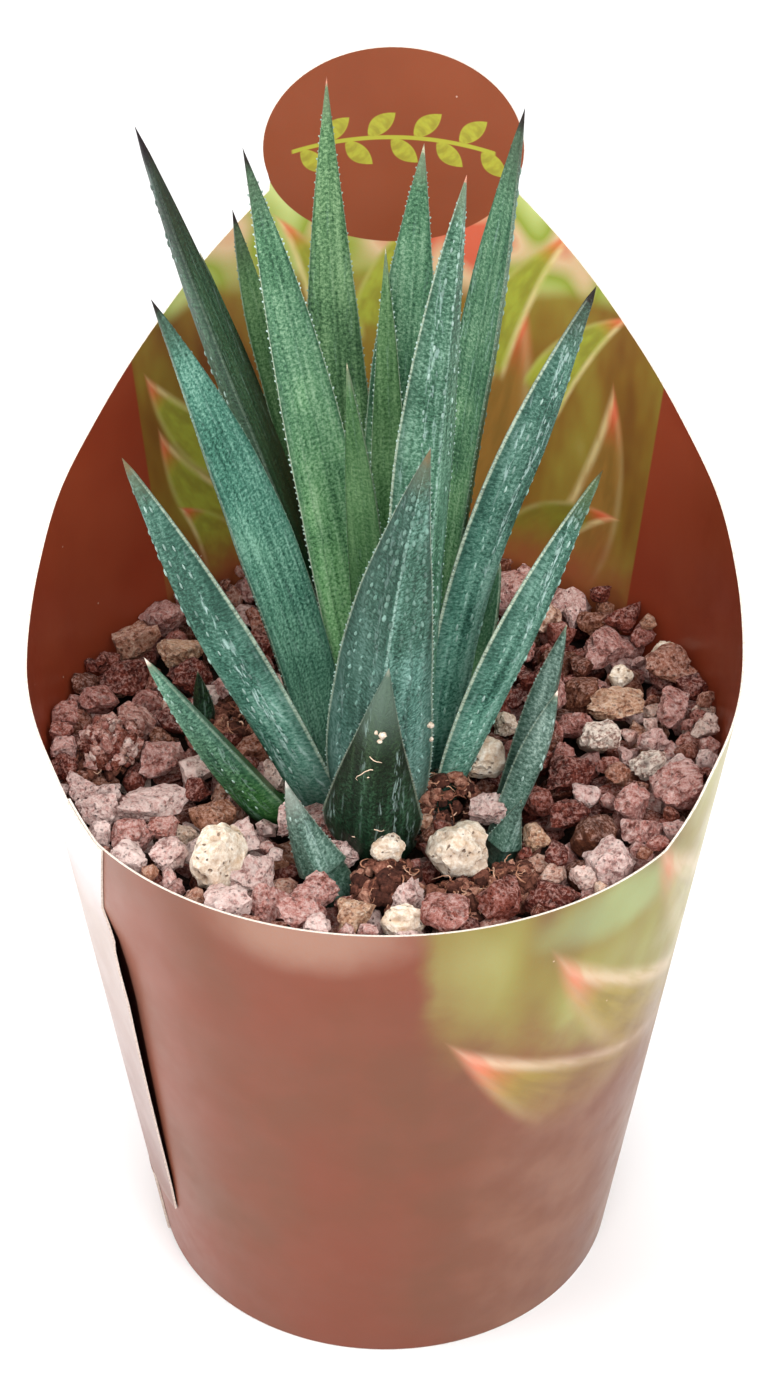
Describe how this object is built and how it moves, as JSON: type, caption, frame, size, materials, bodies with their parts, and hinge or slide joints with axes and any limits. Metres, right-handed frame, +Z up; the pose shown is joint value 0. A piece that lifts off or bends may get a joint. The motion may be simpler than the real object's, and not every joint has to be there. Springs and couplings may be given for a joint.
{
  "type": "potted haworthia",
  "caption": "Small haworthia rosette with stiff, keeled, pointed leaves, in a nursery pot topped with lava grit, inside a printed card sleeve with a tall oval back",
  "frame": {"origin": "on the floor, on the axis of the pot", "axes": "+Z up, -Y towards the low front of the sleeve, +X to the right seen from the front"},
  "size_m": [0.1104, 0.1178, 0.1958],
  "materials": {
    "printed_card": "glossy laminated print on card, brown with a soft leafy picture",
    "pot_plastic": "dark brown thin moulded polypropylene, satin",
    "stem": "dry fibrous plant tissue",
    "leaf": "waxy blue-green skin with pale raised dots and white toothed margins",
    "lava_grit": "rough porous mauve-brown volcanic stone",
    "pink_lava": "rough porous pink volcanic stone",
    "dark_lava": "rough porous dark red volcanic stone",
    "tan_lava": "rough porous tan volcanic stone",
    "pumice": "rough pitted cream pumice",
    "peat": "dark fibrous peat"
  },
  "bodies": {
    "root": {"card_sleeve": "printed_card", "nursery_pot": "pot_plastic", "rosette_stem": "stem", "side_shoot_neck": "stem", "leaf_heart_young": "leaf", "leaf_heart_thin": "leaf", "leaf_right_keeled": "leaf", "leaf_left_broad": "leaf", "leaf_right_of_centre": "leaf", "leaf_centre_tall": "leaf", "leaf_right_tall": "leaf", "leaf_right_arching": "leaf", "leaf_left_outer": "leaf", "leaf_front_broad": "leaf", "leaf_far_left_tall": "leaf", "leaf_far_left_behind": "leaf", "leaf_thin_left": "leaf", "leaf_left_low": "leaf", "leaf_right_low": "leaf", "leaf_back_right": "leaf", "leaf_back_centre": "leaf", "leaf_back_left": "leaf", "leaf_front_short": "leaf", "leaf_left_stub": "leaf", "leaf_front_stub": "leaf", "shoot_leaf_back": "leaf", "shoot_leaf_middle": "leaf", "shoot_leaf_stub": "leaf", "seedling_leaf": "leaf", "cream_pitted_pumice": "pumice", "pink_flat_lava": "pink_lava", "pink_rim_lava": "pink_lava", "dark_lava_clump": "dark_lava", "tan_back_lava": "tan_lava", "pink_front_left_lava": "pink_lava", "round_pumice": "pumice", "white_right_pumice": "pumice", "small_white_pumice": "pumice", "white_front_pumice": "pumice", "orange_front_lava": "tan_lava", "mauve_front_lava": "lava_grit", "mauve_left_front_lava": "lava_grit", "pink_upright_lava": "pink_lava", "dark_front_lava": "dark_lava", "pale_angular_lava": "pink_lava", "large_mauve_lava": "lava_grit", "tan_flat_lava": "tan_lava", "white_rough_pumice": "pumice", "white_speckled_pumice": "pumice", "brown_back_lava": "dark_lava", "mauve_back_lava": "lava_grit", "potting_soil": "peat", "grit_bed": "lava_grit"}
  },
  "joints": []
}
